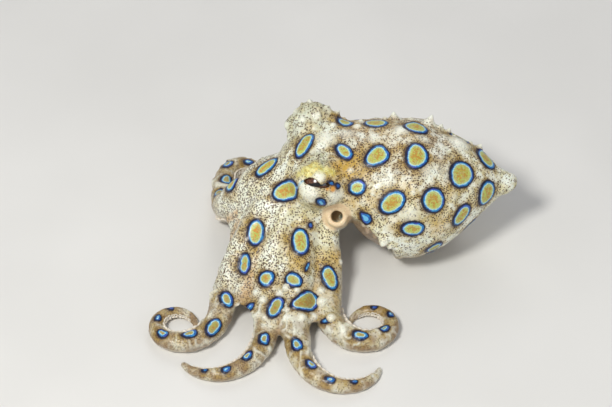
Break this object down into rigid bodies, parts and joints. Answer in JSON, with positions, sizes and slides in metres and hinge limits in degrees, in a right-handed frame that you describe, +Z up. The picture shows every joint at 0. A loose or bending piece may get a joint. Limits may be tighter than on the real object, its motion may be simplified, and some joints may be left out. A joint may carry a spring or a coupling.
{
  "type": "blue-ringed octopus model",
  "caption": "Life-size still model of a small ringed octopus: pointed mantle, low head with two eyes, side funnel and webbed arms that spread and curl on the floor.",
  "frame": {"origin": "bottom centre of the whole object's box, on the floor", "axes": "+X from the arms towards the pointed mantle tip, -Y the animal's left side, +Z up"},
  "size_m": [0.0852, 0.0854, 0.0327],
  "materials": {
    "skin": "moist skin, finely stippled, satin",
    "eye": "wet and glossy"
  },
  "bodies": {
    "root": {"mantle": "skin", "head": "skin", "funnel": "skin", "arm_l1_base": "skin", "arm_l1_mid": "skin", "arm_l1_tip": "skin", "arm_l2_base": "skin", "arm_l2_mid": "skin", "arm_l2_tip": "skin", "arm_l3_base": "skin", "arm_l3_mid": "skin", "arm_l3_tip": "skin", "arm_l4_base": "skin", "arm_l4_mid": "skin", "arm_l4_tip": "skin", "arm_r1_base": "skin", "arm_r1_mid": "skin", "arm_r1_tip": "skin", "arm_r2_base": "skin", "arm_r2_mid": "skin", "arm_r2_tip": "skin", "arm_r3_base": "skin", "arm_r3_mid": "skin", "arm_r3_tip": "skin", "arm_r4_base": "skin", "arm_r4_mid": "skin", "arm_r4_tip": "skin", "eye_left": "eye", "eye_right": "eye"}
  },
  "joints": []
}
